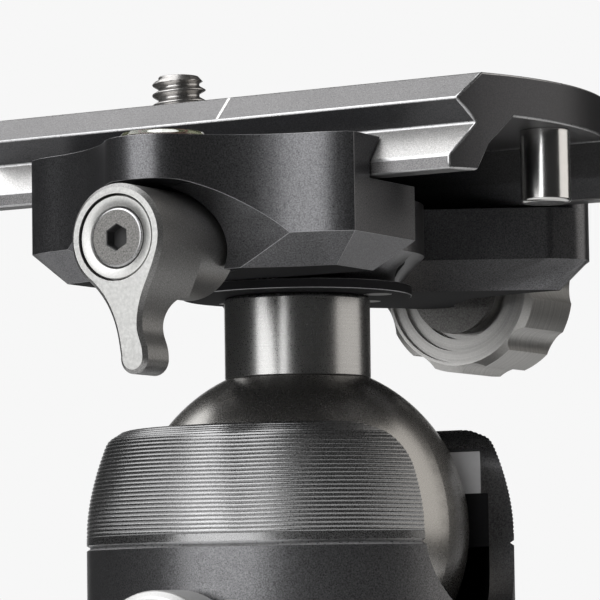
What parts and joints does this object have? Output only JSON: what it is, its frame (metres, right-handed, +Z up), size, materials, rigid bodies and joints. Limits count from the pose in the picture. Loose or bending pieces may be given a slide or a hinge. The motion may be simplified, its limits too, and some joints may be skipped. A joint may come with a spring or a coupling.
{
  "type": "tripod ball head",
  "caption": "Tripod ball head with a drop notch, a panning base, lock and friction knobs, and a lever clamp holding a sliding dovetail camera plate.",
  "frame": {"origin": "centre of the flat face under the base, on the axis of the tapped tripod hole", "axes": "+Z up along the panning axis, +X out of the drop notch, -Y towards the clamp lever and the friction knob"},
  "size_m": [0.07, 0.0874, 0.1025],
  "materials": {
    "housing_black": "fine-ribbed satin black anodising",
    "base_black": "satin black anodising",
    "clamp_black": "fine bead-blasted black anodising",
    "plate_grey": "bead-blasted dark grey anodising, bare cut edges",
    "lever_titanium": "satin grey, bright cut front",
    "knob_silver": "turned and satin",
    "grip_black": "matte fluted rubber",
    "lock_black": "satin black anodising",
    "stem_silver": "satin turned",
    "ball_grey": "hard-anodised warm grey",
    "seat_grey": "hard slippery polymer",
    "steel_plain": "turned steel",
    "screw_dark": "blackened steel",
    "pin_chrome": "polished chrome",
    "brass_plain": "turned brass",
    "washer_white": "slippery polymer",
    "pad_rubber": "matte ribbed rubber",
    "level_clear": "clear moulded lens",
    "level_green": "tinted liquid",
    "level_metal": "thin metal cup",
    "dial_grey": "printed dial with plain numbers"
  },
  "bodies": {
    "base": {"base_plate": "base_black", "base_thread_bush": "steel_plain", "pan_bearing_washer": "washer_white", "pan_retainer_disc": "steel_plain", "pan_retainer_screws": "screw_dark"},
    "housing": {"housing": "housing_black", "housing_plug": "base_black", "wedge_floor": "steel_plain", "upper_seat": "seat_grey", "main_lock_bush": "brass_plain", "friction_bush": "brass_plain", "pan_slip_washer": "washer_white"},
    "ball": {"ball": "ball_grey"},
    "stem": {"stem": "stem_silver"},
    "clamp": {"stem_flange": "clamp_black", "clamp_body": "clamp_black", "clamp_mount_screws": "screw_dark", "clamp_rod": "steel_plain", "jaw_guide_pins": "steel_plain", "jaw_spring": "steel_plain", "knob_washer": "steel_plain"},
    "jaw": {"movable_jaw": "clamp_black", "level_case": "level_metal", "level_liquid": "level_green", "level_lens": "level_clear"},
    "lever": {"clamp_lever": "lever_titanium", "lever_ring": "pin_chrome", "lever_screw": "screw_dark", "lever_sleeve": "steel_plain"},
    "clamp_knob": {"clamp_knob": "knob_silver", "clamp_knob_nut": "steel_plain"},
    "plate": {"plate": "plate_grey", "plate_pads": "pad_rubber", "stop_pin_right": "pin_chrome", "stop_pin_left": "pin_chrome"},
    "camera_washer": {"camera_screw_washer": "steel_plain"},
    "camera_screw": {"camera_screw": "steel_plain"},
    "main_lock": {"main_lock_knob": "lock_black", "main_lock_grip": "grip_black", "main_lock_cap": "lock_black", "main_lock_screw": "screw_dark", "main_lock_sleeve": "steel_plain"},
    "wedge": {"lock_wedge": "steel_plain"},
    "cup": {"lower_cup": "seat_grey"},
    "friction_control": {"friction_knob": "lock_black", "friction_dial": "dial_grey", "friction_screw": "screw_dark"},
    "friction_plunger": {"friction_plunger": "washer_white"},
    "pan_lock": {"pan_lock_knob": "lock_black", "pan_lock_cap": "lock_black", "pan_lock_screw": "steel_plain", "pan_lock_pad": "washer_white"}
  },
  "joints": [
    {"name": "base_pan", "type": "hinge", "parent": "base", "child": "housing", "pos_m": [0, 0, 0], "axis": [0, 0, 1], "continuous": true},
    {"name": "ball_side_tilt", "type": "hinge", "parent": "housing", "child": "ball", "pos_m": [0, 0, 0.04955], "axis": [1, 0, 0], "range_deg": [-20, 20]},
    {"name": "ball_drop_tilt", "type": "hinge", "parent": "ball", "child": "stem", "pos_m": [0, 0, 0.04955], "axis": [0, 1, 0], "range_deg": [-20, 90]},
    {"name": "clamp_swivel", "type": "hinge", "parent": "stem", "child": "clamp", "pos_m": [0, 0, 0.0759], "axis": [0, 0, 1], "continuous": true},
    {"name": "jaw_slide", "type": "slide", "parent": "clamp", "child": "jaw", "axis": [0, -1, 0], "range_m": [0, 0.00149]},
    {"name": "lever_turn", "type": "hinge", "parent": "jaw", "child": "lever", "pos_m": [0, -0.03, 0.07975], "axis": [0, -1, 0], "range_deg": [0, 95]},
    {"name": "clamp_knob_turn", "type": "hinge", "parent": "clamp", "child": "clamp_knob", "pos_m": [0, 0.045, 0.07975], "axis": [0, 1, 0], "continuous": true},
    {"name": "plate_slide", "type": "slide", "parent": "clamp", "child": "plate", "axis": [1, 0, 0], "range_m": [-0.0138, 0.0126]},
    {"name": "camera_screw_slide", "type": "slide", "parent": "plate", "child": "camera_washer", "axis": [1, 0, 0], "range_m": [-0.0036, 0.0358]},
    {"name": "camera_screw_turn", "type": "hinge", "parent": "camera_washer", "child": "camera_screw", "pos_m": [-0.0155, 0, 0.09695], "axis": [0, 0, 1], "continuous": true},
    {"name": "main_lock_turn", "type": "hinge", "parent": "housing", "child": "main_lock", "pos_m": [0, 0.034, 0.02355], "axis": [0, 1, 0], "range_deg": [0, 330]},
    {"name": "wedge_slide", "type": "slide", "parent": "housing", "child": "wedge", "axis": [0, 1, 0], "range_m": [0, 0.00116]},
    {"name": "cup_drop", "type": "slide", "parent": "housing", "child": "cup", "axis": [0, 0, -1], "range_m": [0, 0.00025]},
    {"name": "friction_knob_turn", "type": "hinge", "parent": "housing", "child": "friction_control", "pos_m": [0, -0.028, 0.03455], "axis": [0, -1, 0], "range_deg": [0, 270]},
    {"name": "friction_plunger_slide", "type": "slide", "parent": "housing", "child": "friction_plunger", "axis": [0, -1, 0], "range_m": [0, 0.0003]},
    {"name": "pan_lock_turn", "type": "hinge", "parent": "housing", "child": "pan_lock", "pos_m": [-0.028, 0, 0.00975], "axis": [-1, 0, 0], "range_deg": [0, 270]}
  ],
  "couplings": [
    {"joint": "lever_turn", "follows": "jaw_slide", "rad_per_m": 1111},
    {"joint": "wedge_slide", "follows": "main_lock_turn", "m_per_rad": 0.00019894},
    {"joint": "cup_drop", "follows": "main_lock_turn", "m_per_rad": 0.000042287},
    {"joint": "friction_plunger_slide", "follows": "friction_knob_turn", "m_per_rad": 0.00006}
  ]
}
